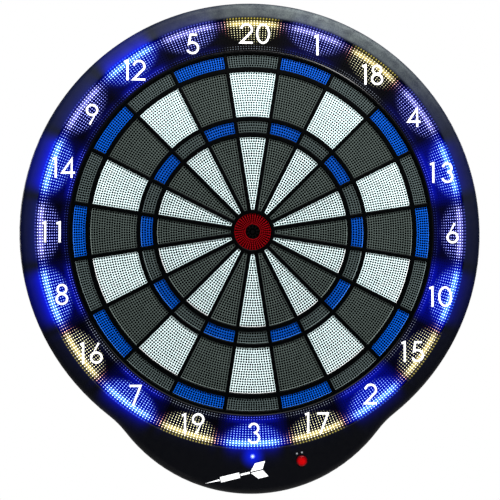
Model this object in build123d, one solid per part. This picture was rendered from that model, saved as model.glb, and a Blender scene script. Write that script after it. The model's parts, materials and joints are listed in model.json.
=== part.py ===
from build123d import *
import math
import os

# Electronic dartboard, in millimetres.
# X is to the right as a player faces the board, Z is up and +Y is towards the wall.
# The origin is on the axis of the bull, in the plane of the wall.
# Every flat shape is drawn in the XZ plane, and "level" is the distance from the wall, along -Y.

NUMBERS = [20, 1, 18, 4, 13, 6, 10, 15, 2, 17, 3, 19, 7, 16, 8, 11, 14, 9, 12, 5]
SECTOR_DEG = 360 / len(NUMBERS)
HALF_SECTOR = math.radians(SECTOR_DEG / 2)

# Outline of the housing: a large disc, a smaller one hung below it, and a hollow blend between them.
HOUSING_R = 254.4
PANEL_R = 174.8
PANEL_DROP = 111.8
BLEND_R = 100.0

# Rings of the target: inner and outer radius of each row of plates.
INNER_SINGLE = (24.5, 105.0)
TRIPLE = (110.3, 123.0)
OUTER_SINGLE = (127.9, 177.7)
DOUBLE = (183.2, 196.6)
INNER_BULL_R = 7.8
OUTER_BULL = (8.3, 20.2)
WEB_GAP = 4.3
PLATE_CLEARANCE = 0.4
FLANGE_LIP = 1.2
CORNER_R = 0.6

# Levels of the layers, from the wall to the front.
BACK_WALL_TOP = 2.5
CONTROLLER_LEVELS = (8.0, 9.6)
CASING_TOP = 13.7
BACKING_LEVELS = (14.0, 18.0)
MEMBRANE_LEVELS = (18.0, 18.6)
MAT_BASE_TOP = 20.2
MAT_LEVELS = (18.6, 21.6)
LED_BOARD_LEVELS = (20.0, 21.6)
FLANGE_LEVELS = (23.0, 25.0)
WEB_LEVELS = (25.4, 38.0)
PLATE_TOP = 36.4
DIFFUSER_LEVELS = (34.4, 36.6)
NUMBER_RING_LEVELS = (36.8, 38.2)
RIM_TOP = 39.2
BEZEL_LEVELS = (14.0, 42.0)
BEZEL_WALL = 2.5

# Travel of the plates and of the button.
PLATE_TRAVEL = 1.2
BUTTON_TRAVEL = 1.0

# Web and its skirt.
WEB_RIM_R = 201.4
SKIRT_R = (198.2, 200.4)
WEB_BOSS_PITCH_R = 203.4
WEB_BOSS_R = 3.4
WEB_BOSS_TOP = 30.0
WEB_BOSS_COUNT = 8

# Tail of the contact sheets.
TAIL_WIDTH = 40.0
TAIL_REACH = 232.0

# Number ring, its diffuser and its lights.
RING_HOLE_R = 236.5
NUMBER_RING_R = (200.6, 239.4)
LED_BOARD_R = (207.0, 237.4)
LED_PITCH_R = 229.0
LED_POST_PITCH_R = 221.0
LED_SIZE = 5.0
LED_HEIGHT = 1.6
LEDS_PER_SECTOR = 3
LED_STEP_DEG = SECTOR_DEG / LEDS_PER_SECTOR

# Casing and bezel.
FRONT_ROUND = 7.0
INNER_EDGE_ROUND = 1.6
CASING_INSET = 1.0
TONGUE_INSET = 2.8
CAVITY_INSET = 5.0
TONGUE_TOP = 19.0
BACK_CHAMFER = 6.0
COLLAR_WIDTH = 3.0
SCREW_PITCH_R = 244.4
SCREW_ANGLES = [0, 45, 90, 128, 232, 270, 315]
PANEL_SCREWS = [(-95.0, -237.0), (95.0, -237.0)]
SCREW_SHAFT_R = 1.4
SCREW_HOLE_R = 1.7
SCREW_HEAD_R = 3.2
SCREW_HEAD_HEIGHT = 2.0
SCREW_SLOT_WIDTH = 0.8
COUNTERBORE_R = 3.6
COUNTERBORE_TOP = 3.0
TUBE_R = 4.5
BOSS_R = 4.2
CASE_SCREW_TOP = 30.0
PLATE_SCREW_TOP = 26.0
JOINT_GAP = 0.2
POST_R = 4.0
BACKING_POST_ROWS = [(0.0, 1, 0.0), (100.0, 6, 0.0), (180.0, 10, SECTOR_DEG / 2)]
LED_POST_R = 3.5

# Keyhole slots that the board hangs on.
KEYHOLE_X = 150.0
KEYHOLE_Z = 120.0
KEYHOLE_ENTRY_R = 5.0
KEYHOLE_SLOT_R = 2.3
KEYHOLE_RISE = 9.0
POCKET_SIZE = (17.0, 28.0)
POCKET_WALL = 1.6
POCKET_TOP = 9.5

# Start button, its switch and the indicator lenses.
BUTTON_X, BUTTON_Z = 53.2, -250.4
BUTTON_R = 5.9
BUTTON_HOLE_R = 6.2
BUTTON_PROUD = 1.6
BUTTON_FLANGE_R = 7.3
BUTTON_FLANGE_LEVELS = (37.4, 39.0)
BUTTON_STEM_R = 2.2
BUTTON_STEM_FOOT = 30.2
SWITCH_BOARD_LEVELS = (22.4, 24.0)
SWITCH_BOARD_SIZE = (26.0, 16.0)
SWITCH_BODY = 6.2
SWITCH_BODY_TOP = 27.6
SWITCH_PLUNGER_R = 1.7
STATUS_LENS = (-0.5, -245.0, 2.6)
MARK_LENSES = [(47.9, -242.4, 0.9), (53.4, -241.2, 0.9)]
LENS_FOOT = 34.0
LENS_FLANGE = 0.5
LENS_FLANGE_THICK = 1.4
LENS_CLEARANCE = 0.1

# Speaker, power inlet and rubber pads.
SPEAKER_X, SPEAKER_Z = -58.0, -246.0
SPEAKER_R = 18.0
SPEAKER_LEVELS = (2.7, 4.7, 7.7, 9.7, 13.0)
BASKET_R, CONE_R, MAGNET_R, DOME_R = 13.0, 15.5, 11.0, 5.0
GRILLE_HOLE_R = 1.3
GRILLE_RINGS = [(0.0, 1), (5.0, 6), (10.0, 12)]
INLET_LEVELS = (9.6, 12.8)
INLET_WIDTH = 9.0
INLET_DEPTH = 10.0
INLET_SHELL = 0.4
TONGUE_LENGTH = 9.0
INLET_FACE_Z = -(PANEL_DROP + PANEL_R - CASING_INSET)
PAD_PLACES = [(-95.0, 205.0), (95.0, 205.0), (-120.0, -190.0), (120.0, -190.0)]
PAD_R = 11.0
PAD_DEPTH = 1.2

# Controller board, and its chips as x, z, width, height and thickness.
CONTROLLER_Z = -233.5
CONTROLLER_SIZE = (84.0, 57.0)
CONTROLLER_TAB_Z = -266.6
CONTROLLER_TAB_SIZE = (30.0, 18.0)
CHIPS = [(-20, -240, 14, 14, 1.6), (14, -228, 10, 7, 1.4), (26, -252, 6, 6, 2.8), (0, -211, 44, 5, 3.8)]

# Shallow relief moulded into the back.
GROOVE_DEPTH = 0.8
GROOVE_RINGS = [(88.0, 91.0), (158.0, 161.0)]
LABEL_SIZE = (96.0, 40.0)
LABEL_Z = -48.0
VENT_SIZE = (3.0, 34.0)
VENT_PITCH = 9.0
VENT_COUNT = 7
VENT_Z = -236.0
VENT_X = 62.0


def slab(sketch, low, high):
    """Extrude a flat shape from one level to another, away from the wall."""
    return extrude(Plane.XZ.offset(low) * sketch, amount=high - low)


def ring(inner, outer):
    return Circle(outer) - Circle(inner)


def around(radius, clockwise_deg):
    """A place on a circle, counted clockwise from the top as the player sees it."""
    turn = math.radians(clockwise_deg)
    return Pos(radius * math.sin(turn), radius * math.cos(turn))


def fuse(pieces):
    whole = pieces[0]
    for piece in pieces[1:]:
        whole += piece
    return whole


def cut(whole, pieces):
    for piece in pieces:
        whole -= piece
    return whole


def save(name, shape):
    export_step(shape, f"parts/{name}.step")


def outline(inset=0.0):
    """Two discs joined by a hollow blend on each side, as arcs that stay tangent at any inset."""
    reach = HOUSING_R + BLEND_R
    panel_reach = PANEL_R + BLEND_R
    hub_z = (panel_reach ** 2 - reach ** 2 - PANEL_DROP ** 2) / (2 * PANEL_DROP)
    hub = Vector(math.sqrt(reach ** 2 - hub_z ** 2), hub_z)
    panel_hub = Vector(0, -PANEL_DROP)
    from_centre = hub.normalized()
    from_panel = (hub - panel_hub).normalized()
    upper = from_centre * (HOUSING_R - inset)
    lower = panel_hub + from_panel * (PANEL_R - inset)
    middle = hub - (from_centre + from_panel).normalized() * (BLEND_R + inset)
    left = [Vector(-point.X, point.Y) for point in (lower, middle, upper)]
    edges = [ThreePointArc(left[2], (0, HOUSING_R - inset), upper),
             ThreePointArc(upper, middle, lower),
             ThreePointArc(lower, panel_hub - Vector(0, PANEL_R - inset), left[0]),
             ThreePointArc(*left)]
    return make_face(edges)


def cell(radii, grow=0.0):
    """One cell of the topmost sector, with sides parallel to the web's ribs."""
    apex = (WEB_GAP / 2 - grow) / math.sin(HALF_SECTOR)
    reach_x = HOUSING_R * math.sin(HALF_SECTOR)
    reach_z = HOUSING_R * math.cos(HALF_SECTOR) + apex
    wedge = Polygon((0, apex), (reach_x, reach_z), (-reach_x, reach_z), align=None)
    return wedge & ring(radii[0] - grow, radii[1] + grow)


def plate(radii):
    """A scoring plate: the part that shows, and a wider flange held behind the web."""
    face = cell(radii)
    face = fillet(face.vertices(), CORNER_R)
    return slab(face, FLANGE_LEVELS[1], PLATE_TOP) + slab(cell(radii, FLANGE_LIP), *FLANGE_LEVELS)


def plate_pair(first, second, index):
    turn = Rot(0, index * SECTOR_DEG, 0)
    return Compound([turn * solid for radii in (first, second) for solid in plate(radii).solids()])


def inner_bull():
    flange_top = FLANGE_LEVELS[1] - JOINT_GAP
    return (slab(Circle(INNER_BULL_R), flange_top, PLATE_TOP)
            + slab(Circle(INNER_BULL_R + 2 * FLANGE_LIP - CORNER_R), FLANGE_LEVELS[0], flange_top))


def outer_bull():
    recess_top = FLANGE_LEVELS[1] + PLATE_TRAVEL + JOINT_GAP
    body = slab(Circle(OUTER_BULL[1]), FLANGE_LEVELS[1], PLATE_TOP)
    body += slab(Circle(OUTER_BULL[1] + FLANGE_LIP), *FLANGE_LEVELS)
    body -= slab(Circle(OUTER_BULL[0]), FLANGE_LEVELS[0], PLATE_TOP)
    return body - slab(Circle(INNER_BULL_R + 2 * FLANGE_LIP), FLANGE_LEVELS[0], recess_top)


def web_boss_places():
    step = 360 / WEB_BOSS_COUNT
    return [around(WEB_BOSS_PITCH_R, (index + 0.5) * step) for index in range(WEB_BOSS_COUNT)]


def spider():
    """The black web: ribs and rings in front of the plates' flanges, with a skirt round the edge."""
    grid = Circle(SKIRT_R[1]) - Circle(OUTER_BULL[1] + PLATE_CLEARANCE)
    for index in range(len(NUMBERS)):
        turn = Rot(0, 0, index * SECTOR_DEG)
        grid -= [turn * cell(radii, PLATE_CLEARANCE)
                 for radii in (INNER_SINGLE, TRIPLE, OUTER_SINGLE, DOUBLE)]
    web = slab(grid, *WEB_LEVELS)
    web += slab(ring(*SKIRT_R), MAT_LEVELS[0], WEB_LEVELS[1])
    rim_low = DOUBLE[1] + PLATE_CLEARANCE
    web += slab(ring(rim_low, SKIRT_R[1]), WEB_LEVELS[1], RIM_TOP)
    web += slab(ring(rim_low, WEB_RIM_R), NUMBER_RING_LEVELS[1], RIM_TOP)
    bosses = [slab(place * Circle(WEB_BOSS_R), MAT_LEVELS[0], WEB_BOSS_TOP) for place in web_boss_places()]
    web += [boss - slab(Circle(SKIRT_R[0]), MAT_LEVELS[0], WEB_BOSS_TOP) for boss in bosses]
    return cut(web, [slab(place * Circle(SCREW_SHAFT_R), MAT_LEVELS[0], PLATE_SCREW_TOP)
                     for place in web_boss_places()])


def matrix_mat():
    """The rubber sheet that springs the plates back, with a raised band behind each row."""
    mat = slab(Circle(SKIRT_R[0] - PLATE_CLEARANCE), MAT_LEVELS[0], MAT_BASE_TOP)
    bands = [ring(*radii) for radii in (INNER_SINGLE, TRIPLE, OUTER_SINGLE, DOUBLE)]
    bands.append(Circle(OUTER_BULL[1]))
    return fuse([mat] + [slab(band, MAT_BASE_TOP, MAT_LEVELS[1]) for band in bands])


def membrane_sheets():
    """The printed contact sheets, with the tail that runs down to the controller."""
    tail = Pos(0, -TAIL_REACH / 2) * Rectangle(TAIL_WIDTH, TAIL_REACH)
    return slab(Circle(SKIRT_R[1] - PLATE_CLEARANCE) + tail, *MEMBRANE_LEVELS)


def backing_plate():
    """The stiff board behind the contact sheets."""
    board = slab(Circle(WEB_BOSS_PITCH_R + WEB_BOSS_R), *BACKING_LEVELS)
    return cut(board, [slab(place * Circle(SCREW_HOLE_R), *BACKING_LEVELS) for place in web_boss_places()])


def number_ring():
    return slab(ring(*NUMBER_RING_R), *NUMBER_RING_LEVELS)


def light_diffuser():
    return slab(ring(*NUMBER_RING_R), *DIFFUSER_LEVELS)


def led_post_places():
    count = len(NUMBERS) // 2
    return [around(LED_POST_PITCH_R, (index + 0.5) * 360 / count) for index in range(count)]


def led_ring_board():
    return slab(ring(*LED_BOARD_R), *LED_BOARD_LEVELS)


def ring_leds():
    """Square lights on the ring board, an even row behind every number."""
    low = LED_BOARD_LEVELS[1]
    lights = []
    for index in range(len(NUMBERS) * LEDS_PER_SECTOR):
        turn = Rot(0, index * LED_STEP_DEG, 0)
        lights.append(turn * slab(Pos(0, LED_PITCH_R) * Rectangle(LED_SIZE, LED_SIZE), low, low + LED_HEIGHT))
    return Compound(lights)


def case_screw_places():
    return [around(SCREW_PITCH_R, angle) for angle in SCREW_ANGLES] + [Pos(*spot) for spot in PANEL_SCREWS]


def lens_places():
    return [(Pos(x, z), radius) for x, z, radius in [STATUS_LENS] + MARK_LENSES]


def front_bezel():
    """The front shell: a rounded rim, the panel below the target and a collar on the number ring."""
    low, high = BEZEL_LEVELS
    skin = slab(outline(), low, high)
    skin = fillet(skin.faces().sort_by(Axis.Y)[0].edges(), FRONT_ROUND)
    hollow = slab(outline(BEZEL_WALL), low, high - BEZEL_WALL)
    hollow = fillet(hollow.faces().sort_by(Axis.Y)[0].edges(), FRONT_ROUND - BEZEL_WALL)
    shell = skin - hollow
    shell += slab(ring(RING_HOLE_R, RING_HOLE_R + COLLAR_WIDTH), NUMBER_RING_LEVELS[1], high - BEZEL_WALL)
    tube_top = high - BEZEL_WALL
    shell += [slab(place * Circle(BOSS_R), TONGUE_TOP + JOINT_GAP, tube_top)
              for place in case_screw_places()]
    shell -= slab(Circle(RING_HOLE_R), low, high)
    mouth = [edge for edge in shell.edges().filter_by(GeomType.CIRCLE)
             if abs(edge.radius - RING_HOLE_R) < JOINT_GAP and edge.center().Y < -high + JOINT_GAP]
    shell = fillet(mouth, INNER_EDGE_ROUND)
    holes = [slab(place * Circle(SCREW_SHAFT_R), TONGUE_TOP, CASE_SCREW_TOP) for place in case_screw_places()]
    holes.append(slab(Pos(BUTTON_X, BUTTON_Z) * Circle(BUTTON_HOLE_R), tube_top, high))
    holes += [slab(place * Circle(radius + LENS_CLEARANCE), tube_top, high)
              for place, radius in lens_places()]
    return cut(shell, holes)


def keyhole(side):
    slot = Pos(0, KEYHOLE_RISE / 2) * Rectangle(2 * KEYHOLE_SLOT_R, KEYHOLE_RISE)
    shape = Circle(KEYHOLE_ENTRY_R) + slot + Pos(0, KEYHOLE_RISE) * Circle(KEYHOLE_SLOT_R)
    return Pos(side * KEYHOLE_X, KEYHOLE_Z) * shape


def keyhole_pocket(side):
    """The closed box behind a keyhole, which keeps the wall screw's head off the electronics."""
    width, height = POCKET_SIZE
    place = Pos(side * KEYHOLE_X, KEYHOLE_Z + KEYHOLE_RISE / 2)
    box = slab(place * RectangleRounded(width, height, POCKET_WALL), BACK_WALL_TOP, POCKET_TOP)
    room = place * RectangleRounded(width - 2 * POCKET_WALL, height - 2 * POCKET_WALL, POCKET_WALL / 2)
    return box - slab(room, BACK_WALL_TOP, POCKET_TOP - POCKET_WALL)


def grille_holes():
    centre = Pos(SPEAKER_X, SPEAKER_Z)
    return [centre * around(radius, index * 360 / count) * Circle(GRILLE_HOLE_R)
            for radius, count in GRILLE_RINGS for index in range(count)]


def back_relief():
    """Ring grooves with spokes between them, and a recess for a label."""
    (_, spoke_low), (spoke_high, _) = GROOVE_RINGS
    width = GROOVE_RINGS[0][1] - GROOVE_RINGS[0][0]
    marks = [ring(*radii) for radii in GROOVE_RINGS]
    spoke = Pos(0, (spoke_low + spoke_high) / 2) * Rectangle(width, spoke_high - spoke_low + JOINT_GAP)
    marks += [Rot(0, 0, (index + 0.5) * 4 * SECTOR_DEG) * spoke for index in range(len(NUMBERS) // 4)]
    return marks + [Pos(0, LABEL_Z) * RectangleRounded(*LABEL_SIZE, PAD_DEPTH)]


def vent_slots():
    first = VENT_X - VENT_PITCH * (VENT_COUNT - 1) / 2
    return [Pos(first + index * VENT_PITCH, VENT_Z) * SlotOverall(VENT_SIZE[1], VENT_SIZE[0], rotation=90)
            for index in range(VENT_COUNT)]


def backing_post_places():
    return [around(radius, start + index * 360 / count)
            for radius, count, start in BACKING_POST_ROWS for index in range(count)]


def rear_casing():
    """The tray against the wall: tongue, posts, screw tubes, keyholes, grille and power cut-out."""
    tray = slab(outline(CASING_INSET), 0, CASING_TOP)
    tray = chamfer(tray.faces().sort_by(Axis.Y)[-1].edges(), BACK_CHAMFER)
    tray += slab(outline(TONGUE_INSET), CASING_TOP - BACK_WALL_TOP, TONGUE_TOP)
    cavity = slab(outline(CAVITY_INSET), BACK_WALL_TOP, TONGUE_TOP)
    tray -= chamfer(cavity.faces().sort_by(Axis.Y)[-1].edges(), BACK_CHAMFER - BACK_WALL_TOP / 2)
    posts = [slab(place * Circle(TUBE_R), BACK_WALL_TOP, TONGUE_TOP) for place in case_screw_places()]
    posts += [slab(place * Circle(LED_POST_R), BACK_WALL_TOP, LED_BOARD_LEVELS[0])
              for place in led_post_places()]
    posts += [slab(place * Circle(POST_R), BACK_WALL_TOP, BACKING_LEVELS[0])
              for place in backing_post_places()]
    posts.append(slab(Pos(BUTTON_X, BUTTON_Z) * Circle(POST_R), BACK_WALL_TOP, SWITCH_BOARD_LEVELS[0]))
    posts += [keyhole_pocket(side) for side in (-1, 1)]
    tray += posts
    holes = [slab(place * Circle(COUNTERBORE_R), 0, COUNTERBORE_TOP) for place in case_screw_places()]
    holes += [slab(place * Circle(SCREW_HOLE_R), 0, TONGUE_TOP) for place in case_screw_places()]
    holes += [slab(keyhole(side), 0, BACK_WALL_TOP) for side in (-1, 1)]
    holes += [slab(hole, 0, BACK_WALL_TOP) for hole in grille_holes()]
    holes += [slab(vent, 0, BACK_WALL_TOP) for vent in vent_slots()]
    holes += [slab(mark, 0, GROOVE_DEPTH) for mark in back_relief()]
    holes += [slab(Pos(*spot) * Circle(PAD_R), 0, PAD_DEPTH) for spot in PAD_PLACES]
    inlet = Pos(0, INLET_FACE_Z) * Rectangle(INLET_WIDTH + JOINT_GAP, INLET_DEPTH)
    holes.append(slab(inlet, INLET_LEVELS[0] - JOINT_GAP / 2, INLET_LEVELS[1] + JOINT_GAP / 2))
    return cut(tray, holes)


def screw(low, high):
    """A pan-head screw whose head faces the wall."""
    head = slab(Circle(SCREW_HEAD_R), low - SCREW_HEAD_HEIGHT, low)
    head = fillet(head.faces().sort_by(Axis.Y)[-1].edges(), SCREW_HEAD_HEIGHT / 3)
    slot_length = 2 * SCREW_SHAFT_R + SCREW_SLOT_WIDTH
    cross = Rectangle(slot_length, SCREW_SLOT_WIDTH) + Rectangle(SCREW_SLOT_WIDTH, slot_length)
    head -= slab(cross, low - SCREW_HEAD_HEIGHT, low - SCREW_HEAD_HEIGHT / 2)
    return head + slab(Circle(SCREW_SHAFT_R), low, high)


def case_screws():
    case = screw(COUNTERBORE_TOP, CASE_SCREW_TOP)
    inner = screw(BACKING_LEVELS[0], PLATE_SCREW_TOP)
    pieces = [(case, spot) for spot in case_screw_places()] + [(inner, spot) for spot in web_boss_places()]
    return Compound([Pos(spot.position.X, 0, spot.position.Y) * piece for piece, spot in pieces])


def controller_board():
    """The circuit board that reads the sheets, with its chips and its plug strip."""
    low, high = CONTROLLER_LEVELS
    board = Pos(0, CONTROLLER_Z) * Rectangle(*CONTROLLER_SIZE)
    board += Pos(0, CONTROLLER_TAB_Z) * Rectangle(*CONTROLLER_TAB_SIZE)
    return fuse([slab(board, low, high)] + [slab(Pos(x, z) * Rectangle(wide, tall), high, high + thick)
                                            for x, z, wide, tall, thick in CHIPS])


def usb_socket():
    """The power socket: a thin shell, open downwards, with a tongue held by its back wall."""
    low, high = INLET_LEVELS
    back = INLET_FACE_Z + INLET_DEPTH
    middle_z = INLET_FACE_Z + INLET_DEPTH / 2
    middle_level = (low + high) / 2
    room = Pos(0, middle_z - INLET_SHELL) * Rectangle(INLET_WIDTH - 2 * INLET_SHELL, INLET_DEPTH)
    tongue = Pos(0, back - TONGUE_LENGTH / 2) * Rectangle(INLET_WIDTH / 2, TONGUE_LENGTH)
    socket = slab(Pos(0, middle_z) * Rectangle(INLET_WIDTH, INLET_DEPTH), low, high)
    socket -= slab(room, low + INLET_SHELL, high - INLET_SHELL)
    return socket + slab(tongue, middle_level - INLET_SHELL, middle_level + INLET_SHELL)


def start_button():
    """The red button, with a flange that keeps it behind the panel and a stem above the switch."""
    top = BEZEL_LEVELS[1] + BUTTON_PROUD
    cap = slab(Circle(BUTTON_R), BUTTON_FLANGE_LEVELS[0], top)
    cap = fillet(cap.faces().sort_by(Axis.Y)[0].edges(), BUTTON_PROUD - JOINT_GAP)
    cap += slab(Circle(BUTTON_FLANGE_R), *BUTTON_FLANGE_LEVELS)
    cap += slab(Circle(BUTTON_STEM_R), BUTTON_STEM_FOOT, BUTTON_FLANGE_LEVELS[0])
    return Pos(BUTTON_X, 0, BUTTON_Z) * cap


def button_switch_board():
    low, high = SWITCH_BOARD_LEVELS
    plunger_top = BUTTON_STEM_FOOT - BUTTON_TRAVEL - JOINT_GAP
    board = slab(Rectangle(*SWITCH_BOARD_SIZE), low, high)
    board += slab(Rectangle(SWITCH_BODY, SWITCH_BODY), high, SWITCH_BODY_TOP)
    board += slab(Circle(SWITCH_PLUNGER_R), SWITCH_BODY_TOP, plunger_top)
    return Pos(BUTTON_X, 0, BUTTON_Z) * board


def indicator_lenses():
    """Clear light pipes: one for the status light and two small ones above the button."""
    top = BEZEL_LEVELS[1] + JOINT_GAP
    under = BEZEL_LEVELS[1] - BEZEL_WALL
    return Compound([slab(place * Circle(radius), LENS_FOOT, top)
                     + slab(place * Circle(radius + LENS_FLANGE), under - LENS_FLANGE_THICK, under)
                     for place, radius in lens_places()])


def speaker():
    """A small speaker that faces the grille in the back: basket, magnet and cone."""
    low, flange_top, cone_top, basket_top, high = SPEAKER_LEVELS
    frame = slab(Circle(SPEAKER_R), low, flange_top)
    frame += slab(Circle(BASKET_R), flange_top, basket_top)
    frame += slab(Circle(MAGNET_R), basket_top, high)
    frame -= loft([Plane.XZ.offset(low) * Circle(CONE_R), Plane.XZ.offset(cone_top) * Circle(DOME_R)])
    return Pos(SPEAKER_X, 0, SPEAKER_Z) * frame


def rubber_bumpers():
    return Compound([slab(Pos(*spot) * Circle(PAD_R - JOINT_GAP), 0, PAD_DEPTH) for spot in PAD_PLACES])


os.makedirs("parts", exist_ok=True)
for place_index, number in enumerate(NUMBERS):
    save(f"singles_{number}", plate_pair(OUTER_SINGLE, INNER_SINGLE, place_index))
    save(f"multiples_{number}", plate_pair(DOUBLE, TRIPLE, place_index))
for build_part in (inner_bull, outer_bull, spider, matrix_mat, membrane_sheets, backing_plate,
                   number_ring, light_diffuser, led_ring_board, ring_leds, front_bezel, rear_casing,
                   case_screws, controller_board, usb_socket, start_button, button_switch_board,
                   indicator_lenses, speaker, rubber_bumpers):
    save(build_part.__name__, build_part())
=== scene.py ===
import json
import math

import bmesh
import bpy
import numpy as np
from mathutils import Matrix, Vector


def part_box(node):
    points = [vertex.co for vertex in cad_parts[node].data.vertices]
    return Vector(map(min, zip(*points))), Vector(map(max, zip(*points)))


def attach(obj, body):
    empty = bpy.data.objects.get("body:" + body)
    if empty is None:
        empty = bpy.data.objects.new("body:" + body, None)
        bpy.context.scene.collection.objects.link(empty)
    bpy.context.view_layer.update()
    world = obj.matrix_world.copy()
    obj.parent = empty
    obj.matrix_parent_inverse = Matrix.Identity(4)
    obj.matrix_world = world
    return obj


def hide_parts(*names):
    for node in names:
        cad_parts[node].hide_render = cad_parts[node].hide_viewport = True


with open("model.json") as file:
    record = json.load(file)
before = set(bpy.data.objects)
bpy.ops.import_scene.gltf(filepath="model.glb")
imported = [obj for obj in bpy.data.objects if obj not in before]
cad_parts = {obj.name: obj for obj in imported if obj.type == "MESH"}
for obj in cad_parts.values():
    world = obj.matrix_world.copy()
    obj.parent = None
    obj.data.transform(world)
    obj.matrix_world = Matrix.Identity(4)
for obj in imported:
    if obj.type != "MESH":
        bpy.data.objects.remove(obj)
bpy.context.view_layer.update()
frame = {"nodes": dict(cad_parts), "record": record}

# Looks of an electronic dartboard. Every length is in metres, in the frame of the CAD model:
# X to the right as a player faces the board, Z up, +Y towards the wall, and the bull on the Y axis.
# "Level" is the distance from the wall, along -Y. Angles run clockwise from the top of the board.
MM = 0.001
NUMBERS = [20, 1, 18, 4, 13, 6, 10, 15, 2, 17, 3, 19, 7, 16, 8, 11, 14, 9, 12, 5]
SECTORS = len(NUMBERS)
SECTOR = 2 * math.pi / SECTORS

# Rings of plates, and the web between them.
INNER_SINGLE = (24.5 * MM, 105.0 * MM)
TRIPLE = (110.3 * MM, 123.0 * MM)
OUTER_SINGLE = (127.9 * MM, 177.7 * MM)
DOUBLE = (183.2 * MM, 196.6 * MM)
PLATE_ROWS = (INNER_SINGLE, TRIPLE, OUTER_SINGLE, DOUBLE)
WEB_GAP = 4.3 * MM
FLANGE_LIP = 1.2 * MM
PLATE_RIM = 0.45 * MM
PLATE_CHAMFER = 0.3 * MM
OUTER_BULL = (8.3 * MM, 20.2 * MM)
INNER_BULL = (1.3 * MM, 7.8 * MM)
BULL_RECESS_R = 10.2 * MM
BULL_FLANGE_R = 9.6 * MM

# Dart holes.
ROW_PITCH = 2.72 * MM
COLUMN_PITCH = 2.75 * MM
ROW_SEAM = 0.3 * MM
HOLE_MOUTH_R = 1.21 * MM
HOLE_R = 1.10 * MM
FUNNEL_DEPTH = 0.4 * MM
HOLE_DEPTH = 5.0 * MM
HOLE_SIDES = 8
# How much wider the holes of the inner single plates are than the others.
INNER_WIDE = 1.045
# How many rows of holes each bull has, and how many holes a row has.
OUTER_BULL_HOLES = (5, 40)
INNER_BULL_HOLES = (2, 10)

# Levels, read from the CAD nodes where a node gives them.
PLATE_TOP = -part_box("singles_20")[0].y
FLANGE_LOW = -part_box("singles_20")[1].y
FLANGE_TOP = FLANGE_LOW + 2.0 * MM
BULL_FLANGE_TOP = FLANGE_LOW + 1.8 * MM
BULL_RECESS_TOP = FLANGE_LOW + 3.4 * MM
WEB_LOW = FLANGE_TOP + 0.4 * MM
WEB_TOP = PLATE_TOP + 1.6 * MM
RIM_TOP = -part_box("spider")[0].y
SKIRT_LOW = -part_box("spider")[1].y
RING_LOW = -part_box("number_ring")[1].y
RING_TOP = -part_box("number_ring")[0].y
PANEL_TOP = -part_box("front_bezel")[0].y

# Web.
WEB_CLEARANCE = 0.4 * MM
WEB_BEVEL = 0.45 * MM
BEVEL_BEND = WEB_BEVEL / 3
# The web's bevelled edge: how far back from its wall, and how far down from its top.
WEB_EDGE = [(WEB_BEVEL, 0.0), (BEVEL_BEND, BEVEL_BEND), (0.0, WEB_BEVEL)]
WEB_SIDES = 8
BULL_WEB_R = (20.6 * MM, 22.4 * MM)
SKIRT_R = (198.2 * MM, 200.4 * MM)
WEB_RIM_R = 201.4 * MM
RIM_SLOPE = (0.9 * MM, 0.45 * MM)

# Number ring.
RING_R = (200.6 * MM, 239.4 * MM)
RING_ROWS = 13
RING_COLUMNS = 22 * SECTORS
RING_FIRST_ROW = 203.4 * MM
RING_ROW_PITCH = 2.6 * MM
RING_HOLE = (0.57 * MM, 0.53 * MM)

# Numerals and emblem.
NUMERAL_R = 219.4 * MM
NUMERAL_CENTRE = (1.0 * MM, -1.6 * MM)
NUMERAL_HEIGHT = 22.8 * MM
NUMERAL_STROKE = 2.25 * MM
# How much of a figure's height is below the number's middle.
NUMERAL_BELOW = 0.48
DIGIT_STEP = 14.2 * MM
DIGIT_STEPS = {20: 18.4 * MM, 18: 13.0 * MM, 12: 12.6 * MM, 13: 15.8 * MM, 17: 16.0 * MM, 11: 15.6 * MM}
# Numbers printed a little off the circle: right and up, in millimetres.
NUMERAL_NUDGES = {1: (3.3, 0.8), 18: (2.5, -0.4), 4: (2.5, 1.5), 6: (2.5, 0.3), 10: (-2.8, -2.6),
                  15: (-3.2, -2.1), 12: (-3.8, 1.1), 14: (-0.6, 2.8), 16: (-0.7, -2.5), 20: (1.2, 1.9)}
PRINT_THICKNESS = 0.25 * MM
ARC_STEPS = 24
LOOP_STEPS = 40
# A sharp corner of a stroke grows no further than 1 / MITRE_LIMIT times the stroke.
MITRE_LIMIT = 0.4
# Outlines of the dart's point, barrel, shaft and upper flight: along it and across it, in millimetres.
DART_OUTLINES = [
    [(-30, 0), (-16, 0.9), (-16, -0.9)],
    [(-15, 2.6), (4, 2.6), (4, -2.6), (-15, -2.6)],
    [(5, 0.9), (14, 0.9), (14, -0.9), (5, -0.9)],
    [(15, 0.6), (21, 7.5), (31, 7.5), (27, 0.6)],
]
EMBLEM_PLACE = (-19 * MM, -266 * MM)
EMBLEM_SIZE = 1.12
EMBLEM_TILT = math.radians(13)

# Lit ring. Each band of light is the radius of its middle and its spread. The last three are bands of painted
# glow on the black number ring.
BEZEL_MOUTH_R = 236.5 * MM
HOT_BAND = (231.4 * MM, 2.5 * MM)
POOL_BAND = (222.5 * MM, 3.5 * MM)
EDGE_BAND = (204.8 * MM, 1.5 * MM)
END_BAND = (231.4 * MM, 3.2 * MM)
HOT_RING_GLOW_BAND = (231.4 * MM, 1.7 * MM)
BESIDE_RING_GLOW_BAND = (232.0 * MM, 4.0 * MM)
EDGE_RING_GLOW_BAND = (207.2 * MM, 2.1 * MM)
# The inner edge of a pool of light: its radius in the middle of its sector, and how much it bows.
POOL_EDGE_R = 209.5 * MM
POOL_EDGE_BOW = 60 * MM
YELLOW, VIOLET, BLUE = "yellow", "violet", "blue"
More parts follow.
